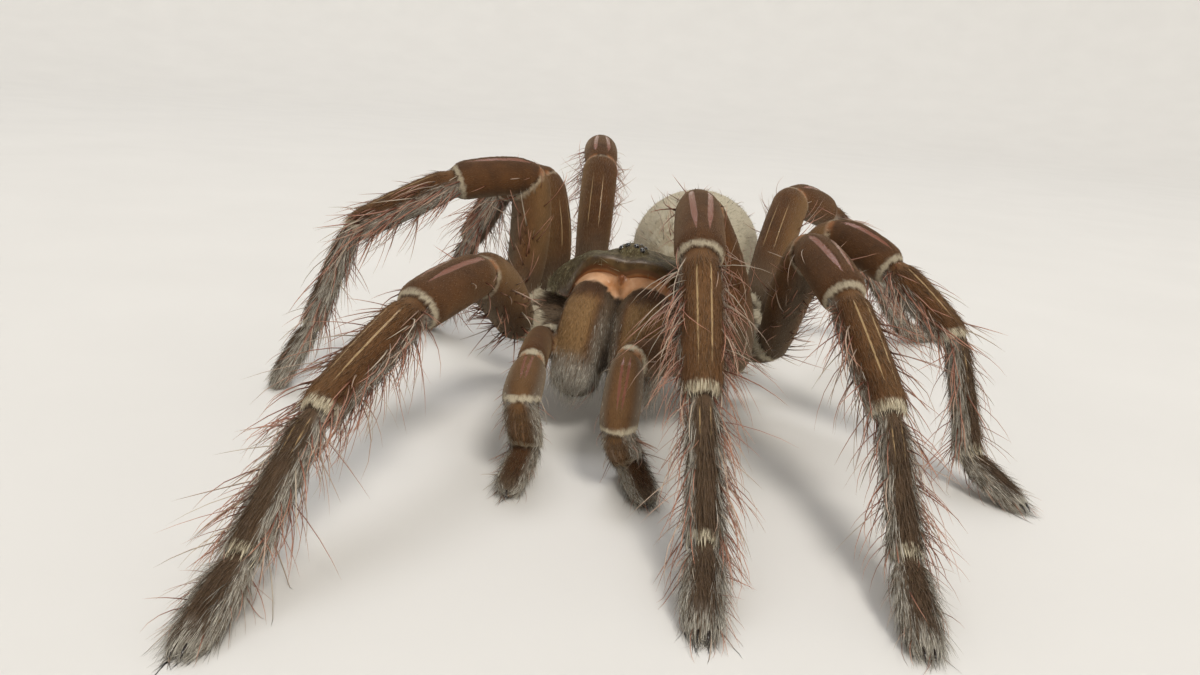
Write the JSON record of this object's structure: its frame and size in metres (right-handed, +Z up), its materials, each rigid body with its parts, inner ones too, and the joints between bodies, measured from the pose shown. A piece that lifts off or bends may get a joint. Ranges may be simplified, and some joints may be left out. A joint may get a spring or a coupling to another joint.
{
  "type": "tarantula",
  "caption": "Life-size still model of a large brown ground tarantula standing with raised knees, jaws forward, short velvet coat with long reddish hairs and pink knee stripes.",
  "frame": {"origin": "middle of the footprint, on the floor the feet stand on", "axes": "+Z up; the face looks along -Y and the abdomen points along +Y; the spider's own left side is +X"},
  "size_m": [0.1236, 0.1832, 0.0449],
  "materials": {
    "coat_brown": "short brown velvet hair over a horny skin, with long reddish hairs, pale joint rings and bare pink knee stripes",
    "foot_pads": "dense grey-brown pad hair, darker underneath, pale at the tip",
    "carapace_felt": "fine olive-grey felted hair radiating from the middle pit of a hard shell",
    "abdomen_coat": "soft cream-grey hair, tan speckles toward the front",
    "jaw_coat": "golden-brown hair lying down the jaws, grey at the sides, reddish fringe below",
    "underside_coat": "dark brown hair with paler fuzz at the leg bases",
    "fang_horn": "polished black horn",
    "eye_lens": "clear dark lens with a sharp highlight"
  },
  "bodies": {
    "root": {"carapace": "carapace_felt", "sternum": "underside_coat", "abdomen": "abdomen_coat", "pedicel": "underside_coat", "coxae_left": "underside_coat", "chelicera_left": "jaw_coat", "fang_left": "fang_horn", "spinneret_left": "abdomen_coat", "eye_left_front": "eye_lens", "eye_left_outer_front": "eye_lens", "eye_left_outer_rear": "eye_lens", "eye_left_rear": "eye_lens", "coxae_right": "underside_coat", "chelicera_right": "jaw_coat", "fang_right": "fang_horn", "spinneret_right": "abdomen_coat", "eye_right_front": "eye_lens", "eye_right_outer_front": "eye_lens", "eye_right_outer_rear": "eye_lens", "eye_right_rear": "eye_lens", "leg_left_1_femur": "coat_brown", "leg_left_1_patella": "coat_brown", "leg_left_1_tibia": "coat_brown", "leg_left_1_foot": "foot_pads", "leg_left_2_femur": "coat_brown", "leg_left_2_patella": "coat_brown", "leg_left_2_tibia": "coat_brown", "leg_left_2_foot": "foot_pads", "leg_left_3_femur": "coat_brown", "leg_left_3_patella": "coat_brown", "leg_left_3_tibia": "coat_brown", "leg_left_3_foot": "foot_pads", "leg_left_4_femur": "coat_brown", "leg_left_4_patella": "coat_brown", "leg_left_4_tibia": "coat_brown", "leg_left_4_foot": "foot_pads", "palp_left_femur": "coat_brown", "palp_left_patella": "coat_brown", "palp_left_tibia": "coat_brown", "palp_left_tarsus": "foot_pads", "leg_right_1_femur": "coat_brown", "leg_right_1_patella": "coat_brown", "leg_right_1_tibia": "coat_brown", "leg_right_1_foot": "foot_pads", "leg_right_2_femur": "coat_brown", "leg_right_2_patella": "coat_brown", "leg_right_2_tibia": "coat_brown", "leg_right_2_foot": "foot_pads", "leg_right_3_femur": "coat_brown", "leg_right_3_patella": "coat_brown", "leg_right_3_tibia": "coat_brown", "leg_right_3_foot": "foot_pads", "leg_right_4_femur": "coat_brown", "leg_right_4_patella": "coat_brown", "leg_right_4_tibia": "coat_brown", "leg_right_4_foot": "foot_pads", "palp_right_femur": "coat_brown", "palp_right_patella": "coat_brown", "palp_right_tibia": "coat_brown", "palp_right_tarsus": "foot_pads"}
  },
  "joints": []
}
